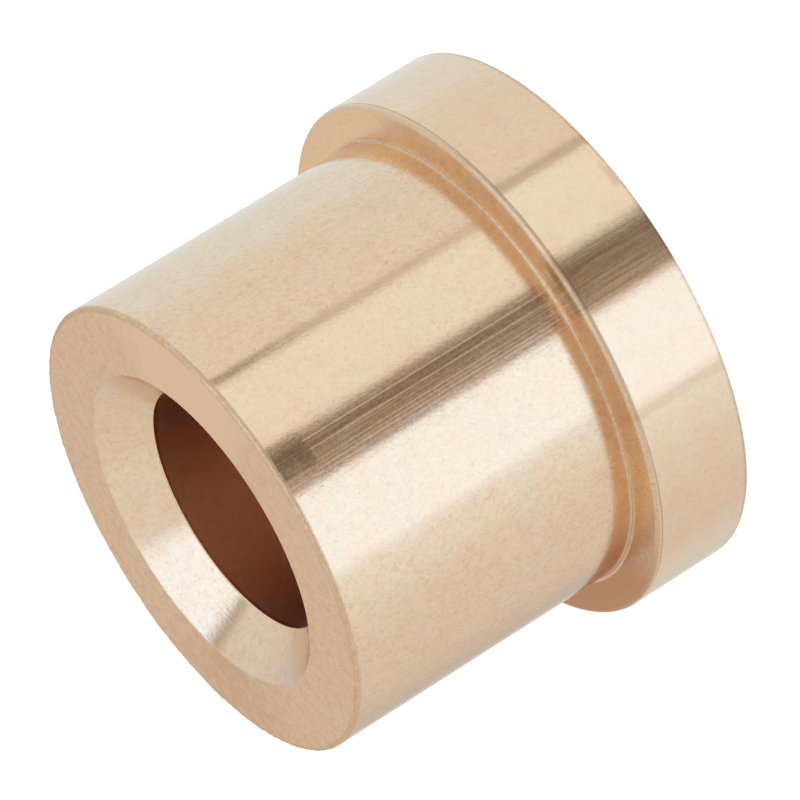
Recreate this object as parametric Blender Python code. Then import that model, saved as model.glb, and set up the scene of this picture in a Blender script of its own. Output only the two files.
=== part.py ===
"""Flanged bronze sleeve bushing, turned in one piece from a single blank.

Frame: metres, +Z up along the bushing's axis. The flange's back face lies on
Z = 0 and the plain sleeve rises from it, so the origin is the middle of that
face. Everything is a body of revolution about Z: one closed half-section is
computed from the driving dimensions and swept round in equal steps.
"""

import math

import bmesh
import bpy

# Driving dimensions, in millimetres
SLEEVE_DIA = 22.0  # plain outside diameter, the press-fit land
FLANGE_DIA = 25.5
OVERALL_LENGTH = 20.1
FLANGE_THICKNESS = 5.0
BORE_DIA = 11.8
LEAD_IN_DIA = 15.4  # mouth of the conical lead-in on the sleeve's end face
LEAD_IN_HALF_ANGLE = 43.0  # degrees, measured from the axis

# Edge breaks and blends, in millimetres
SLEEVE_END_RADIUS = 0.16
FLANGE_FRONT_RADIUS = 0.25
FLANGE_BACK_RADIUS = 0.05
SHOULDER_FILLET = 0.18  # internal corner between sleeve and flange
LEAD_IN_LIP_RADIUS = 0.06  # convex lip where the end face meets the cone
LEAD_IN_THROAT_RADIUS = 0.15  # convex blend where the cone meets the bore
BACK_BORE_CHAMFER = 0.40  # 45 degrees, at the flange end of the bore

SEGMENTS = 128  # steps round the axis
MM = 0.001


def arc(centre_r, centre_z, radius, start_deg, end_deg, steps):
    """Points along a circular arc in the half-section, both ends included."""
    points = []
    for i in range(steps + 1):
        angle = math.radians(start_deg + (end_deg - start_deg) * i / steps)
        points.append(
            (centre_r + radius * math.cos(angle), centre_z + radius * math.sin(angle))
        )
    return points


def half_section():
    """The closed half-section, as (r, z) in millimetres, anticlockwise."""
    sleeve_r = SLEEVE_DIA / 2
    flange_r = FLANGE_DIA / 2
    bore_r = BORE_DIA / 2
    lead_r = LEAD_IN_DIA / 2
    top = OVERALL_LENGTH
    shoulder = FLANGE_THICKNESS
    cone = math.radians(LEAD_IN_HALF_ANGLE)

    points = []
    # Flange: back face edge, outside diameter, front edge
    rb = FLANGE_BACK_RADIUS
    points += arc(flange_r - rb, rb, rb, -90, 0, 3)
    rf = FLANGE_FRONT_RADIUS
    points += arc(flange_r - rf, shoulder - rf, rf, 0, 90, 4)
    # Concave fillet between the shoulder face and the sleeve
    fr = SHOULDER_FILLET
    points += arc(sleeve_r + fr, shoulder + fr, fr, -90, -180, 4)
    # Sleeve's outside diameter and its rounded end edge
    rs = SLEEVE_END_RADIUS
    points += arc(sleeve_r - rs, top - rs, rs, 0, 90, 5)
    # Lip between the end face and the cone. The cone's surface normal points
    # inwards and up, at the half angle above the horizontal.
    normal_deg = 180 - LEAD_IN_HALF_ANGLE
    rl = LEAD_IN_LIP_RADIUS
    lip_tangent = rl * math.tan(math.radians((90 - LEAD_IN_HALF_ANGLE) / 2))
    points += arc(lead_r + lip_tangent, top - rl, rl, 90, normal_deg, 2)
    # Throat between the cone and the bore
    rt = LEAD_IN_THROAT_RADIUS
    throat_z = top - (lead_r - bore_r) / math.tan(cone)
    throat_tangent = rt * math.tan(cone / 2)
    points += arc(bore_r + rt, throat_z - throat_tangent, rt, normal_deg, 180, 3)
    # Bore and the chamfer at its flange end
    points.append((bore_r, BACK_BORE_CHAMFER))
    points.append((bore_r + BACK_BORE_CHAMFER, 0.0))
    return points


def revolve(name, section, segments):
    """A closed body of revolution about Z, from a closed half-section."""
    mesh = bpy.data.meshes.new(name)
    bm = bmesh.new()
    rings = []
    for step in range(segments):
        angle = 2 * math.pi * step / segments
        c, s = math.cos(angle), math.sin(angle)
        rings.append(
            [bm.verts.new((r * MM * c, r * MM * s, z * MM)) for r, z in section]
        )
    count = len(section)
    for step in range(segments):
        here, there = rings[step], rings[(step + 1) % segments]
        for i in range(count):
            j = (i + 1) % count
            bm.faces.new((here[i], there[i], there[j], here[j]))
    bmesh.ops.recalc_face_normals(bm, faces=bm.faces)
    bm.to_mesh(mesh)
    bm.free()
    mesh.shade_smooth()
    mesh.set_sharp_from_angle(angle=math.radians(30))
    obj = bpy.data.objects.new(name, mesh)
    bpy.context.scene.collection.objects.link(obj)
    return obj


def bronze():
    material = bpy.data.materials.new("bronze")
    material.use_nodes = True
    shader = material.node_tree.nodes["Principled BSDF"]
    shader.inputs["Base Color"].default_value = (0.72, 0.50, 0.31, 1.0)
    shader.inputs["Metallic"].default_value = 1.0
    shader.inputs["Roughness"].default_value = 0.28
    return material


def main():
    for obj in list(bpy.data.objects):
        bpy.data.objects.remove(obj, do_unlink=True)
    bushing = revolve("flanged_bushing", half_section(), SEGMENTS)
    bushing.data.materials.append(bronze())


main()
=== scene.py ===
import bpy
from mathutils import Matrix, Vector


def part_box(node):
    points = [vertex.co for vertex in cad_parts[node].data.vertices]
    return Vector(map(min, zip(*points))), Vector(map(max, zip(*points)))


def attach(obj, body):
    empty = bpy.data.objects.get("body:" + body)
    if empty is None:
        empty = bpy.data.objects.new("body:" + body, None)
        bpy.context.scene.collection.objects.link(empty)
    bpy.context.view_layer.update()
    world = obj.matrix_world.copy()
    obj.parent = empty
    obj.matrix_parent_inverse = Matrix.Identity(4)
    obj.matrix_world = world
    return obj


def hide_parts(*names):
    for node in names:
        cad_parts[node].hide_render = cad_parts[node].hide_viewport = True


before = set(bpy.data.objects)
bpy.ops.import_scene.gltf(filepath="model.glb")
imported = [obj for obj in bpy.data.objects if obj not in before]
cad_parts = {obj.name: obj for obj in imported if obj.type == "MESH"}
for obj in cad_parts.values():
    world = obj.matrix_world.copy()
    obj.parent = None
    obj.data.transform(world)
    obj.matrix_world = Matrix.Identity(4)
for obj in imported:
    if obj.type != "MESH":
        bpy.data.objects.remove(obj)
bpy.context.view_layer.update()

# Looks for the flanged bronze sleeve bushing: a finely turned copy of the CAD
# body, procedural bronze, a white floor and a soft studio of cards and
# softboxes built as a procedural world.

import math

import bmesh
import bpy
from mathutils import Matrix, Vector, noise

MM = 0.001

# ---------------------------------------------------------------- dimensions
# Millimetres, as in part.py. The overall sizes come from the CAD box, so the
# two can't drift apart.
lo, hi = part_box("flanged_bushing")
FLANGE_R = (hi[0] - lo[0]) / 2 / MM
TOP = (hi[2] - lo[2]) / MM
SLEEVE_R = 11.0
SHOULDER = 5.0
BORE_R = 5.9
LEAD_R = 7.7
HALF_ANGLE = math.radians(43.0)
R_BACK, R_FRONT, R_FILLET, R_END, R_LIP, R_THROAT = 0.05, 0.25, 0.11, 0.16, 0.08, 0.15
BACK_CHAMFER = 0.40


def arc(cr, cz, radius, a0, a1, steps):
    out = []
    for i in range(steps + 1):
        a = math.radians(a0 + (a1 - a0) * i / steps)
        out.append((cr + radius * math.cos(a), cz + radius * math.sin(a)))
    return out


def line(p, q, steps):
    """Points strictly between p and q, with a guard ring close to each end."""
    length = math.hypot(q[0] - p[0], q[1] - p[1])
    ts = sorted({min(0.5, 0.04 / length), max(0.5, 1 - 0.04 / length)}
                | {i / steps for i in range(1, steps)})
    return [(p[0] + (q[0] - p[0]) * t, p[1] + (q[1] - p[1]) * t) for t in ts]


def half_section(r_end):
    """Closed half-section (r, z) in millimetres, anticlockwise."""
    normal_deg = 180 - math.degrees(HALF_ANGLE)
    lip_t = R_LIP * math.tan(math.radians((90 - math.degrees(HALF_ANGLE)) / 2))
    throat_z = TOP - (LEAD_R - BORE_R) / math.tan(HALF_ANGLE)
    throat_t = R_THROAT * math.tan(HALF_ANGLE / 2)
    runs = [
        arc(FLANGE_R - R_BACK, R_BACK, R_BACK, -90, 0, 8),
        arc(FLANGE_R - R_FRONT, SHOULDER - R_FRONT, R_FRONT, 0, 90, 12),
        arc(SLEEVE_R + R_FILLET, SHOULDER + R_FILLET, R_FILLET, -90, -180, 10),
        arc(SLEEVE_R - r_end, TOP - r_end, r_end, 0, 90, 14),
        arc(LEAD_R + lip_t, TOP - R_LIP, R_LIP, 90, normal_deg, 6),
        arc(BORE_R + R_THROAT, throat_z - throat_t, R_THROAT, normal_deg, 180, 8),
        [(BORE_R, BACK_CHAMFER)],
        [(BORE_R + BACK_CHAMFER, 0.0)],
    ]
    steps = [4, 3, 12, 5, 4, 14, 1, 5]
    points = []
    for run, nxt, n in zip(runs, runs[1:] + runs[:1], steps):
        points += run
        points += line(run[-1], nxt[0], n)
    return points


def edge_radius(a):
    """The sleeve end's edge was broken by hand, so its radius wanders a little."""
    p = Vector((SLEEVE_R * math.cos(a), SLEEVE_R * math.sin(a), 0.0))
    slow, quick = noise.noise(p * 0.7), noise.noise(p * 3.6 + Vector((5.0, 0.0, 0.0)))
    return R_END * (1.0 + 0.30 * slow + 0.45 * quick)


def turned(name, segments):
    mesh = bpy.data.meshes.new(name)
    verts, faces = [], []
    for s in range(segments):
        a = 2 * math.pi * s / segments
        c, d = math.cos(a), math.sin(a)
        section = half_section(edge_radius(a))
        n = len(section)
        verts += [(r * c * MM, r * d * MM, z * MM) for r, z in section]
    for s in range(segments):
        t = (s + 1) % segments
        for i in range(n):
            j = (i + 1) % n
            faces.append((s * n + i, t * n + i, t * n + j, s * n + j))
    mesh.from_pydata(verts, [], faces)
    mesh.update()
    mesh.shade_smooth()
    obj = bpy.data.objects.new(name, mesh)
    bpy.context.scene.collection.objects.link(obj)
    return obj


bushing = turned("bushing_body", 768)


# ------------------------------------------------------------------ material
class Nodes:
    """Small helper for building node trees."""

    def __init__(self, tree):
        self.t = tree

    def add(self, kind, **props):
        n = self.t.nodes.new(kind)
        for k, v in props.items():
            setattr(n, k, v)
        return n

    def link(self, a, b):
        self.t.links.new(a, b)

    def put(self, socket, value):
        if hasattr(value, "links"):
            self.link(value, socket)
        else:
            socket.default_value = value

    def math(self, op, a, b=0.0, c=0.0, clamp=False):
        n = self.add("ShaderNodeMath", operation=op, use_clamp=clamp)
        for i, v in enumerate((a, b, c)):
            self.put(n.inputs[i], v)
        return n.outputs[0]

    def smooth(self, v, a, b, lo=0.0, hi=1.0):
        n = self.add("ShaderNodeMapRange", interpolation_type="SMOOTHSTEP")
        self.put(n.inputs[0], v)
        for i, x in enumerate((a, b, lo, hi)):
            n.inputs[i + 1].default_value = x
        return n.outputs[0]

    def lerp(self, v, a, b, lo=0.0, hi=1.0):
        n = self.add("ShaderNodeMapRange", interpolation_type="LINEAR")
        self.put(n.inputs[0], v)
        for i, x in enumerate((a, b, lo, hi)):
            n.inputs[i + 1].default_value = x
        return n.outputs[0]

    def mix(self, f, a, b, blend="MIX"):
        n = self.add("ShaderNodeMix", data_type="RGBA", blend_type=blend)
        n.clamp_factor = True
        self.put(n.inputs[0], f)
        for i, v in ((6, a), (7, b)):
            if isinstance(v, tuple):
                n.inputs[i].default_value = (*v, 1.0)
            else:
                self.put(n.inputs[i], v)
        return n.outputs[2]

    def noise(self, vec, scale, detail=2.0, rough=0.5, dist=0.0):
        n = self.add("ShaderNodeTexNoise", noise_dimensions="3D")
        self.put(n.inputs["Vector"], vec)
        n.inputs["Scale"].default_value = scale
        n.inputs["Detail"].default_value = detail
        n.inputs["Roughness"].default_value = rough
        n.inputs["Distortion"].default_value = dist
        return n.outputs["Fac"]

    def combine(self, x, y, z):
        n = self.add("ShaderNodeCombineXYZ")
        for i, v in enumerate((x, y, z)):
            self.put(n.inputs[i], v)
        return n.outputs[0]

    def band(self, v, a, b, c, d):
        """1 between b and c, falling to 0 at a and at d."""
        return self.math("MULTIPLY", self.smooth(v, a, b), self.smooth(v, c, d, 1.0, 0.0))

    def scale(self, vec, k):
        n = self.add("ShaderNodeVectorMath", operation="SCALE")
        self.put(n.inputs[0], vec)
        n.inputs["Scale"].default_value = k
        return n.outputs[0]


def bronze():
    m = bpy.data.materials.new("turned_bronze")
    m.use_nodes = True
    nt = m.node_tree
    shader = nt.nodes["Principled BSDF"]
    g = Nodes(nt)

    coord = g.add("ShaderNodeTexCoord")
    mm = g.scale(coord.outputs["Object"], 1000.0)
    sep = g.add("ShaderNodeSeparateXYZ")
    g.link(mm, sep.inputs[0])
    x, y, z = sep.outputs
    r = g.math("SQRT", g.math("ADD", g.math("MULTIPLY", x, x), g.math("MULTIPLY", y, y)))
    rz = g.math("ADD", r, z)

    # Where things are: the azimuth in degrees from -Y towards -X, the bore,
    # the two flat faces and the hand-broken edge at the sleeve's end
    az = g.math("MULTIPLY", g.math("ARCTAN2", g.math("MULTIPLY", x, -1.0), g.math("MULTIPLY", y, -1.0)), 180 / math.pi)
    in_bore = g.math("MULTIPLY", g.smooth(r, BORE_R + 0.01, BORE_R + 0.07, 1.0, 0.0),
                     g.smooth(z, 17.9, 18.15, 1.0, 0.0))
    flange_face = g.math("MULTIPLY", g.smooth(r, SLEEVE_R + 0.1, SLEEVE_R + 0.25),
                         g.math("MULTIPLY", g.smooth(z, SHOULDER - 0.2, SHOULDER - 0.08), g.smooth(z, SHOULDER + 0.05, SHOULDER + 0.15, 1.0, 0.0)))
    end_face = g.smooth(z, TOP - 0.06, TOP - 0.02)
    broken = g.math("MULTIPLY", g.smooth(r, SLEEVE_R - 0.30, SLEEVE_R - 0.16), g.smooth(z, TOP - 0.28, TOP - 0.16))
    od = g.math("MULTIPLY", g.smooth(r, SLEEVE_R - 0.04, SLEEVE_R - 0.01), g.math("SUBTRACT", 1.0, flange_face))

    # Slow drifts of tone, and the fine grain of the turned skin
    cloud = g.noise(mm, 0.32, 3.0, 0.55)
    tint = g.noise(mm, 0.75, 2.0, 0.5, 0.3)
    mottle = g.noise(mm, 1.9, 2.0, 0.6)
    grain = g.noise(mm, 4.6, 2.0, 0.75)
    fleck = g.noise(mm, 7.0, 1.0, 0.5)
    # Turning marks run round the part: along Z on the diameters, along r on faces
    mark_vec = g.combine(g.math("MULTIPLY", x, 0.25), g.math("MULTIPLY", y, 0.25), g.math("MULTIPLY", rz, 7.0))
    marks = g.noise(mark_vec, 1.0, 3.0, 0.65)
    # Short cross-hatching from polishing, slanted across the diameters
    arc_mm = g.math("MULTIPLY", az, math.pi / 180 * 11.0)
    hatch_vec = g.combine(g.math("MULTIPLY", g.math("ADD", arc_mm, g.math("MULTIPLY", z, 0.30)), 8.5),
                          g.math("MULTIPLY", g.math("SUBTRACT", z, g.math("MULTIPLY", arc_mm, 0.5)), 2.2), 3.7)
    hatch = g.noise(hatch_vec, 1.0, 2.0, 0.6)

    # How much of the grain shows: the flange's rim was turned finer, and away from the camera side the grain is
    # painted stronger, as painted reflection contrast
    rim = g.smooth(r, SLEEVE_R + 0.9, SLEEVE_R + 1.2)
    camera_side = g.band(az, -27.0, -24.0, 24.0, 27.0)
    show = g.math("MULTIPLY", g.lerp(camera_side, 0.0, 1.0, 2.15, 1.35), g.lerp(rim, 0.0, 1.0, 1.0, 0.55))

    def amount(v, a, b, k):
        return g.math("MULTIPLY", g.smooth(v, a, b, 0.0, k), show)

    base = g.mix(g.smooth(cloud, 0.35, 0.65), (0.905, 0.675, 0.450), (0.885, 0.690, 0.485))
    base = g.mix(g.smooth(tint, 0.45, 0.68, 0.0, 0.60), base, (0.910, 0.635, 0.425))
    face = g.math("MAXIMUM", flange_face, end_face)
    # Faces are duller and more mottled than the polished diameters
    blot = g.smooth(g.math("ADD", g.math("MULTIPLY", mottle, 0.6), g.math("MULTIPLY", grain, 0.4)), 0.42, 0.60)
    base = g.mix(g.math("MULTIPLY", face, g.math("MULTIPLY", blot, 0.30)), base, (0.80, 0.50, 0.28))
    base = g.mix(amount(mottle, 0.50, 0.72, 0.14), base, (0.74, 0.52, 0.33))
    base = g.mix(amount(grain, 0.50, 0.72, 0.17), base, (0.70, 0.50, 0.33))
    base = g.mix(amount(grain, 0.50, 0.30, 0.14), base, (0.985, 0.80, 0.62))
    base = g.mix(amount(fleck, 0.665, 0.74, 0.16), base, (0.45, 0.30, 0.19))
    base = g.mix(g.math("MULTIPLY", od, amount(hatch, 0.50, 0.75, 0.13)), base, (0.66, 0.47, 0.31))

    # Painted dark reflection along the sleeve's camera side: a streaked strip with real scratches in it, darker where
    # it meets the end, and a short darker streak beside it
    on_sleeve = g.math("MULTIPLY", g.band(r, SLEEVE_R - 0.05, SLEEVE_R - 0.02, SLEEVE_R + 0.05, SLEEVE_R + 0.15), g.smooth(z, SHOULDER + 0.1, SHOULDER + 0.25))
    wander = g.noise(g.combine(g.math("MULTIPLY", az, 0.6), g.math("MULTIPLY", z, 1.1), 2.0), 1.0, 2.0, 0.6)
    fine = g.noise(g.combine(g.math("MULTIPLY", az, 2.3), g.math("MULTIPLY", z, 0.22), 9.0), 1.0, 2.0, 0.6)
    edge = g.math("ADD", az, g.math("MULTIPLY", g.math("SUBTRACT", wander, 0.5), 1.6))
    end_dark_reflection = g.math("MULTIPLY", g.band(edge, -8.6, -7.4, 0.2, 1.0), g.smooth(g.math("ADD", z, g.math("MULTIPLY", wander, 0.9)), 18.5, 18.75))
    end_dark_reflection = g.math("MULTIPLY", end_dark_reflection, on_sleeve)
    base = g.mix(g.math("MULTIPLY", end_dark_reflection, g.smooth(grain, 0.30, 0.60, 0.55, 1.0)), base, (0.72, 0.71, 0.70), "MULTIPLY")
    scratched_dark_reflection = g.math("MULTIPLY", g.band(edge, -8.0, -6.2, 3.6, 5.4), on_sleeve)
    speck = g.noise(mm, 7.5, 2.0, 0.7)
    scratched_dark_reflection = g.math("MULTIPLY", scratched_dark_reflection, g.math("ADD", g.smooth(fine, 0.60, 0.40, 0.15, 0.6), g.smooth(speck, 0.42, 0.62, 0.0, 0.55), clamp=True))
    base = g.mix(scratched_dark_reflection, base, (0.68, 0.66, 0.65), "MULTIPLY")
    # A narrow line of painted dark reflection inside the strip
    dim_reflection_line = g.math("MULTIPLY", g.band(g.math("ADD", az, g.math("MULTIPLY", wander, 0.3)), -4.9, -4.5, -2.9, -2.6), on_sleeve)
    base = g.mix(g.math("MULTIPLY", dim_reflection_line, 0.85), base, (0.82, 0.81, 0.80), "MULTIPLY")
    side_streak = g.math("MULTIPLY", g.band(az, -28.8, -27.4, -26.6, -25.6), g.math("MULTIPLY", g.smooth(z, 12.0, 19.4), on_sleeve))
    base = g.mix(g.math("MULTIPLY", side_streak, g.smooth(speck, 0.35, 0.62, 0.45, 1.0)), base, (0.66, 0.63, 0.60), "MULTIPLY")
    # The rim carries a painted dark reflection strip of its own, and two narrow painted dark reflection lines
    rim_dark_reflection = g.math("MULTIPLY", g.band(edge, -10.6, -8.2, 2.4, 4.0), rim)
    stripes = g.math("ADD", g.math("MULTIPLY", fine, 0.60), g.math("MULTIPLY", speck, 0.40))
    base = g.mix(rim_dark_reflection, base, g.mix(g.smooth(stripes, 0.36, 0.62), (0.60, 0.61, 0.60), (0.84, 0.85, 0.84)), "MULTIPLY")
    rim_core_reflection = g.math("MULTIPLY", g.band(edge, -8.6, -7.4, -5.0, -3.6), rim)
    base = g.mix(rim_core_reflection, base, (0.78, 0.75, 0.71), "MULTIPLY")
    thin_reflection_lines = g.math("MULTIPLY", g.math("ADD", g.band(az, 24.6, 25.6, 26.6, 28.0), g.band(az, -28.0, -27.0, -25.6, -24.6)), rim)
    base = g.mix(thin_reflection_lines, base, (0.90, 0.89, 0.86), "MULTIPLY")
    # Painted shade low on the sleeve, beside the shoulder
    foot_shade = g.math("MULTIPLY", on_sleeve, g.smooth(z, SHOULDER + 0.55, SHOULDER + 1.05, 1.0, 0.0))
    base = g.mix(foot_shade, base, (0.94, 0.86, 0.77), "MULTIPLY")
    # Painted shade: the underside of the sleeve is darker than the rim beside it
    under_shade = g.math("MULTIPLY", g.band(az, 58.0, 80.0, 82.0, 88.0), on_sleeve)
    base = g.mix(under_shade, base, (0.755, 0.60, 0.52), "MULTIPLY")

    # Painted shade low on the shoulder face and on one side of the end face, and painted light on the opposite side of
    # each
    low_side_shade = g.math("MULTIPLY", flange_face, g.band(az, 40.0, 82.0, 120.0, 175.0))
    base = g.mix(g.math("MULTIPLY", low_side_shade, 0.95), base, (0.585, 0.345, 0.185))
    deep_shade = g.math("MULTIPLY", flange_face, g.band(az, 66.0, 78.0, 120.0, 175.0))
    base = g.mix(deep_shade, base, (0.99, 0.85, 0.72), "MULTIPLY")
    # Painted highlight on the other side of the shoulder face
    high_side_light = g.math("MULTIPLY", flange_face, g.band(az, -140.0, -110.0, -70.0, -50.0))
    base = g.mix(high_side_light, base, (0.985, 0.735, 0.46))
    end_side_shade = g.math("MULTIPLY", end_face, g.band(az, 96.0, 130.0, 140.0, 175.0))
    base = g.mix(g.math("MULTIPLY", end_side_shade, g.smooth(mottle, 0.35, 0.6, 0.35, 0.8)), base, (0.76, 0.50, 0.30))
    # Painted highlight on the end face
    end_pale_light = g.math("MULTIPLY", end_face, g.band(az, -75.0, -50.0, -22.0, -5.0))
    base = g.mix(g.math("MULTIPLY", end_pale_light, 0.75), base, (0.985, 0.755, 0.515))
    # The edge lines are where the tool's finish gives way to a rougher skin; their colour is painted reflection and
    # painted shade, darker on one side, and the fillet is also darkened in specks
    corner = g.math("MAXIMUM", g.math("MULTIPLY", rim, g.band(z, SHOULDER - 0.27, SHOULDER - 0.22, SHOULDER - 0.02, SHOULDER + 0.01)),
                    g.math("MULTIPLY", g.band(r, SLEEVE_R + 0.005, SLEEVE_R + 0.03, SLEEVE_R + 0.16, SLEEVE_R + 0.2), g.smooth(z, SHOULDER + 0.005, SHOULDER + 0.02)))
    base = g.mix(g.math("MULTIPLY", corner, g.lerp(rim, 0.0, 1.0, 0.95, 0.30)), base,
                 g.mix(g.math("MULTIPLY", g.smooth(az, 25.0, 70.0), g.math("SUBTRACT", 1.0, rim)), (0.78, 0.52, 0.30), (0.52, 0.30, 0.16)))
    fillet = g.math("MULTIPLY", corner, g.math("SUBTRACT", 1.0, rim))
    base = g.mix(g.math("MULTIPLY", fillet, g.smooth(speck, 0.44, 0.58, 0.0, 0.8)), base, (0.55, 0.33, 0.17))
    # Pits and grime held by the shoulder's coarser skin
    pits = g.math("MULTIPLY", flange_face, g.smooth(speck, 0.55, 0.68, 0.0, 0.45))
    pits = g.math("MULTIPLY", pits, g.smooth(az, -60.0, 70.0, 0.5, 1.0))
    base = g.mix(pits, base, (0.42, 0.24, 0.13))
    # Thin painted dark reflection lines where the rim turns into its two edges
    rim_reflection_line = g.math("MULTIPLY", rim, g.band(z, SHOULDER - 0.30, SHOULDER - 0.27, SHOULDER - 0.24, SHOULDER - 0.20))
    base = g.mix(g.math("MULTIPLY", rim_reflection_line, 0.8), base, (0.62, 0.56, 0.50), "MULTIPLY")
    back_reflection_line = g.math("MULTIPLY", g.math("MULTIPLY", rim, g.smooth(z, 0.05, 0.22, 1.0, 0.0)), g.smooth(wander, 0.30, 0.60, 0.35, 1.0))
    base = g.mix(back_reflection_line, base, (0.74, 0.70, 0.68), "MULTIPLY")
    # A small bruise on the back edge of the rim
    bruise = g.math("MULTIPLY", g.math("MULTIPLY", rim, g.band(g.math("ADD", az, g.math("MULTIPLY", g.math("SUBTRACT", mottle, 0.5), 6.0)), -20.5, -18.5, -15.5, -13.5)),
                    g.smooth(g.math("ADD", z, g.math("MULTIPLY", g.math("SUBTRACT", grain, 0.5), 0.5)), 0.25, 0.55, 1.0, 0.0))
    base = g.mix(g.math("MULTIPLY", bruise, 0.75), base, (0.74, 0.47, 0.36))
    base = g.mix(g.math("MULTIPLY", broken, g.smooth(grain, 0.35, 0.62, 0.45, 1.0)), base, (0.78, 0.53, 0.31))
    # Painted reflection at the ends of the countersink, where it mirrors its own far wall
    tip_reflection = g.math("MULTIPLY", g.math("MULTIPLY", g.smooth(z, 17.9, 18.2), g.smooth(r, LEAD_R + 0.1, LEAD_R - 0.1)),
                  g.math("MAXIMUM", g.band(az, 78.0, 90.0, 96.0, 104.0), g.band(az, -100.0, -96.0, -88.0, -76.0)))
    base = g.mix(g.math("MULTIPLY", tip_reflection, 0.8), base, (0.83, 0.66, 0.50))
    # Painted shade: the bore is coloured a darker brown
    base = g.mix(g.math("MULTIPLY", in_bore, 0.95), base, (0.60, 0.305, 0.170))
    rough = g.lerp(grain, 0.3, 0.7, 0.115, 0.165)
    rough = g.math("ADD", rough, g.math("MULTIPLY", in_bore, 0.22))
    rough = g.math("ADD", rough, g.math("MULTIPLY", broken, 0.32))
    rough = g.math("ADD", rough, g.math("MULTIPLY", tip_reflection, 0.10))
    rough = g.math("ADD", rough, g.math("MULTIPLY", corner, 0.16))
    # Scratches running along the sleeve are rougher, and their light colour is a painted highlight where the metal
    # around them mirrors something dark
    scratch = g.add("ShaderNodeValToRGB")
    stops = scratch.color_ramp.elements
    stops[0].position, stops[0].color = 0.0, (0, 0, 0, 1)
    stops[1].position, stops[1].color = 1.0, (0, 0, 0, 1)
    for centre, half, k in ((-5.0, 0.26, 0.8), (-2.6, 0.28, 0.8), (-1.2, 0.18, 0.4), (0.2, 0.22, 0.7), (1.1, 0.20, 0.6), (2.0, 0.24, 0.65), (3.1, 0.20, 0.35)):
        for off, v in ((-half, 0.0), (0.0, k), (half, 0.0)):
            stop = stops.new((centre + off + 9.0) / 15.0)
            stop.color = (v, v, v, 1)
    g.link(g.math("MULTIPLY_ADD", g.math("ADD", az, g.math("MULTIPLY", g.math("SUBTRACT", wander, 0.5), 0.12)), 1 / 15.0, 9.0 / 15.0), scratch.inputs[0])
    on_rim = g.math("SUBTRACT", 1.0, g.math("MULTIPLY", rim, 0.6))
    scratches_and_highlight = g.math("MULTIPLY", scratch.outputs[0], g.math("MULTIPLY", g.band(z, SHOULDER, SHOULDER + 0.3, 18.1, 18.4), g.smooth(wander, 0.25, 0.5, 0.55, 1.0)))
    scratches_and_highlight = g.math("MULTIPLY", scratches_and_highlight, on_rim)
    all_round = g.math("MULTIPLY", g.math("MULTIPLY", g.smooth(fine, 0.56, 0.70), g.smooth(r, SLEEVE_R - 0.03, SLEEVE_R - 0.01)), 0.35)
    all_round = g.math("MULTIPLY", all_round, g.math("SUBTRACT", 1.0, g.math("MAXIMUM", flange_face, g.math("MULTIPLY", rim, 0.5))))
    scratches_and_highlight = g.math("MAXIMUM", scratches_and_highlight, all_round)
    rough = g.math("ADD", rough, g.math("MULTIPLY", scratches_and_highlight, 0.32))
    base = g.mix(g.math("MULTIPLY", scratches_and_highlight, g.lerp(rim, 0.0, 1.0, 0.8, 0.3)), base, (0.97, 0.78, 0.60))
    g.link(base, shader.inputs["Base Color"])
    rough = g.math("ADD", rough, g.math("MULTIPLY", face, 0.06))
    g.link(rough, shader.inputs["Roughness"])
    shader.inputs["Metallic"].default_value = 1.0
    shader.inputs["Anisotropic"].default_value = 0.5
    shader.inputs["Anisotropic Rotation"].default_value = 0.25
    tan = g.add("ShaderNodeTangent", direction_type="RADIAL", axis="Z")
    g.link(tan.outputs[0], shader.inputs["Tangent"])

    bump = g.add("ShaderNodeBump")
    bump.inputs["Strength"].default_value = 0.32
    bump.inputs["Distance"].default_value = 0.00002
    height = g.math("ADD", g.math("MULTIPLY", marks, 0.6), g.math("MULTIPLY", grain, 0.26))
    height = g.math("ADD", height, g.math("MULTIPLY", g.smooth(fleck, 0.665, 0.74), -0.16))
    height = g.math("ADD", height, g.math("MULTIPLY", hatch, 0.22))
    height = g.math("ADD", height, g.math("MULTIPLY", g.math("MULTIPLY", broken, grain), 0.9))
    height = g.math("ADD", height, g.math("MULTIPLY", g.math("MULTIPLY", flange_face, speck), 0.8))
    height = g.math("MULTIPLY", height, g.math("SUBTRACT", 1.0, g.math("MULTIPLY", rim, 0.25)))
    height = g.math("ADD", height, g.math("MULTIPLY", g.math("MULTIPLY", face, mottle), 1.6))
    g.link(height, bump.inputs["Height"])
    g.link(bump.outputs[0], shader.inputs["Normal"])
    return m


material = bronze()
bushing.data.materials.append(material)
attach(bushing, "root")
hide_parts("flanged_bushing")


# --------------------------------------------------------------------- stage
def emissive(name, colour, strength, diffuse=0.0):
    m = bpy.data.materials.new(name)
    m.use_nodes = True
    s = m.node_tree.nodes["Principled BSDF"]
    s.inputs["Base Color"].default_value = (diffuse, diffuse, diffuse, 1.0)
    s.inputs["Roughness"].default_value = 1.0
    s.inputs["Specular IOR Level"].default_value = 0.0
    s.inputs["Emission Color"].default_value = (*colour, 1.0)
    s.inputs["Emission Strength"].default_value = strength
    return m


def disc(name, radius, z, material):
    bm = bmesh.new()
    bmesh.ops.create_circle(bm, cap_ends=True, segments=96, radius=radius)
    bmesh.ops.translate(bm, verts=bm.verts, vec=(0, 0, z))
    mesh = bpy.data.meshes.new(name)
    bm.to_mesh(mesh)
    bm.free()
    mesh.materials.append(material)
    o = bpy.data.objects.new(name, mesh)
    bpy.context.scene.collection.objects.link(o)
    return o


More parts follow.
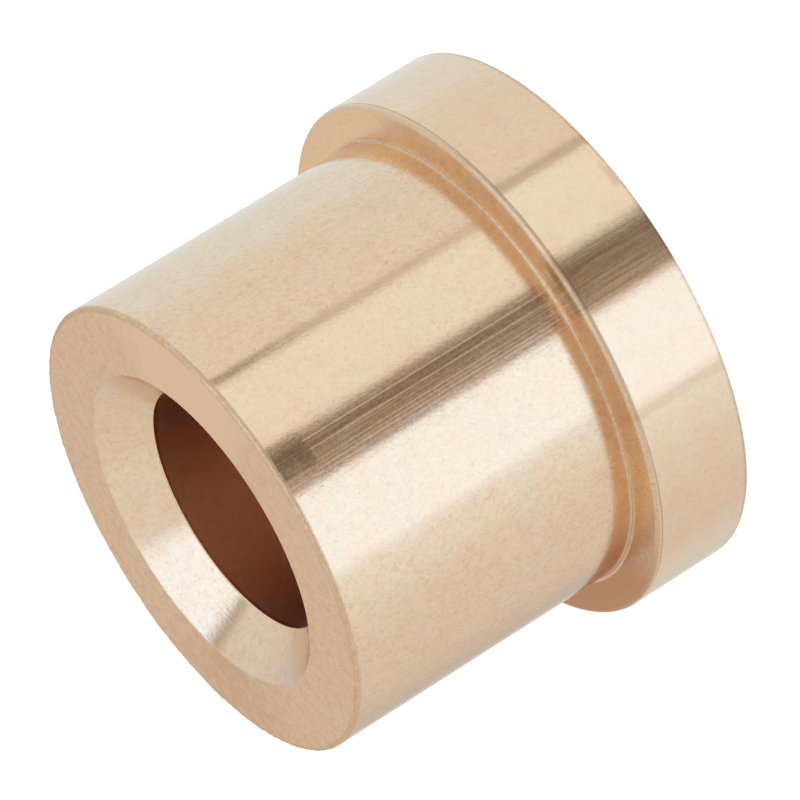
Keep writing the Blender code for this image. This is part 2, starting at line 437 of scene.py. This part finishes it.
white = emissive("studio_white", (1.0, 1.0, 1.0), 1.02, 0.05)
floor = disc("studio_floor", 1.15, 0.0, white)
bm = bmesh.new()
bmesh.ops.create_uvsphere(bm, u_segments=48, v_segments=24, radius=1.2)
dome_mesh = bpy.data.meshes.new("studio_dome")
bm.to_mesh(dome_mesh)
bm.free()
dome_mesh.materials.append(white)
dome = bpy.data.objects.new("studio_dome", dome_mesh)
bpy.context.scene.collection.objects.link(dome)
for o in (floor, dome):
    o.visible_glossy = False
    o.visible_diffuse = False
    o.visible_shadow = False
    o.visible_transmission = False


# --------------------------------------------------------------------- light
# The studio as a procedural world. Azimuth is measured from the camera's side
# (-Y) towards -X, in degrees, and elevation above the horizon.
def studio():
    world = bpy.data.worlds.new("soft_studio")
    bpy.context.scene.world = world
    world.use_nodes = True
    nt = world.node_tree
    bg = nt.nodes["Background"]
    g = Nodes(nt)
    coord = g.add("ShaderNodeTexCoord")
    sep = g.add("ShaderNodeSeparateXYZ")
    g.link(coord.outputs["Generated"], sep.inputs[0])
    x, y, z = sep.outputs
    az = g.math("ARCTAN2", g.math("MULTIPLY", x, -1.0), g.math("MULTIPLY", y, -1.0))
    t = g.math("MULTIPLY_ADD", az, 0.5 / math.pi, 0.5)
    el = g.math("MULTIPLY", g.math("ARCSINE", z), 180 / math.pi)
    azd = g.math("MULTIPLY", az, 180 / math.pi)

    def ramp(stops, interpolation="LINEAR"):
        n = g.add("ShaderNodeValToRGB")
        n.color_ramp.interpolation = interpolation
        e = n.color_ramp.elements
        while len(e) > 1:
            e.remove(e[-1])
        first = True
        for deg, colour in stops:
            pos = (deg + 180) / 360
            if first:
                e[0].position = pos
                el_ = e[0]
                first = False
            else:
                el_ = e.new(pos)
            el_.color = (*colour, 1.0)
        g.link(t, n.inputs[0])
        return n.outputs[0]

    low, mid, top = ramp(LOW_RING), ramp(MID_RING), ramp(TOP_RING)
    # A dark gap along the horizon on the camera's side
    side = g.math("ABSOLUTE", g.math("ADD", azd, 10.0))
    gap = g.mix(g.smooth(side, 55.0, 75.0), (0.22, 0.19, 0.17), mid)
    col = g.mix(g.smooth(el, -9.0, -6.0), low, gap)
    col = g.mix(g.smooth(el, 4.0, 7.0), col, mid)
    col = g.mix(g.smooth(el, 43.0, 46.0), col, top)
    g.link(col, bg.inputs["Color"])
    bg.inputs["Strength"].default_value = 1.0


# Each ring lists (azimuth, colour) round the object at one height.
LOW_RING = [
    (-180, (0.77, 0.79, 0.78)),
    (-160, (0.80, 0.87, 0.90)),
    (-140, (0.80, 0.88, 0.94)),
    (-120, (0.82, 0.92, 1.01)),
    (-96, (0.80, 0.83, 0.87)),
    (-60, (0.84, 0.85, 0.86)),
    (-57.5, (0.84, 0.85, 0.86)),
    (-55, (0.60, 0.56, 0.53)),
    (-52.5, (0.60, 0.56, 0.53)),
    (-51, (0.93, 1.02, 1.055)),
    (-17.5, (0.925, 0.97, 1.00)),
    (-12.0, (0.40, 0.34, 0.31)),
    (-3, (0.39, 0.34, 0.31)),
    (4, (0.52, 0.46, 0.42)),
    (8, (0.62, 0.56, 0.52)),
    (10, (1.075, 1.27, 1.55)),
    (48, (1.08, 1.28, 1.58)),
    (51, (0.94, 1.05, 1.18)),
    (56, (0.91, 1.01, 1.12)),
    (80, (0.81, 0.82, 0.86)),
    (120, (0.74, 0.72, 0.74)),
    (144, (0.75, 0.76, 0.74)),
    (160, (0.67, 0.69, 0.66)),
    (180, (0.77, 0.79, 0.78)),
]
MID_RING = [
    (-180, (0.70, 0.63, 0.58)),
    (-148, (0.67, 0.69, 0.75)),
    (-125, (0.76, 0.79, 0.83)),
    (-90, (0.77, 0.80, 0.86)),
    (-60, (0.76, 0.79, 0.87)),
    (-10, (0.74, 0.77, 0.84)),
    (20, (0.70, 0.71, 0.75)),
    (60, (0.70, 0.69, 0.76)),
    (100, (0.79, 0.77, 0.77)),
    (148, (0.69, 0.69, 0.69)),
    (180, (0.70, 0.63, 0.58)),
]
TOP_RING = [
    (-180, (0.82, 0.80, 0.82)),
    (-101, (0.80, 0.84, 0.92)),
    (-99, (0.44, 0.44, 0.41)),
    (-87, (0.44, 0.44, 0.42)),
    (-85, (1.08, 1.30, 1.66)),
    (-5, (1.07, 1.30, 1.68)),
    (12, (0.98, 1.10, 1.30)),
    (26, (0.80, 0.83, 0.90)),
    (100, (0.80, 0.82, 0.84)),
    (180, (0.82, 0.80, 0.82)),
]
studio()

scene = bpy.context.scene
scene.view_settings.view_transform = "Standard"
scene.view_settings.look = "None"

# -------------------------------------------------------------------- camera
cam_data = bpy.data.cameras.new("camera")
cam_data.lens = 335.5
cam_data.sensor_width = 36.0
cam_data.clip_start = 0.01
cam_data.clip_end = 5.0
cam = bpy.data.objects.new("camera", cam_data)
scene.collection.objects.link(cam)
right = Vector((-0.5262802, -0.3277128, -0.7846231))
up = Vector((0.8503107, -0.2037894, -0.4852232))
back = Vector((-0.0008840, -0.9225368, 0.3859081))
cam.matrix_world = Matrix((
    (right.x, up.x, back.x, 0.0),
    (right.y, up.y, back.y, -0.3008706),
    (right.z, up.z, back.z, 0.1347700),
    (0, 0, 0, 1),
))
scene.camera = cam
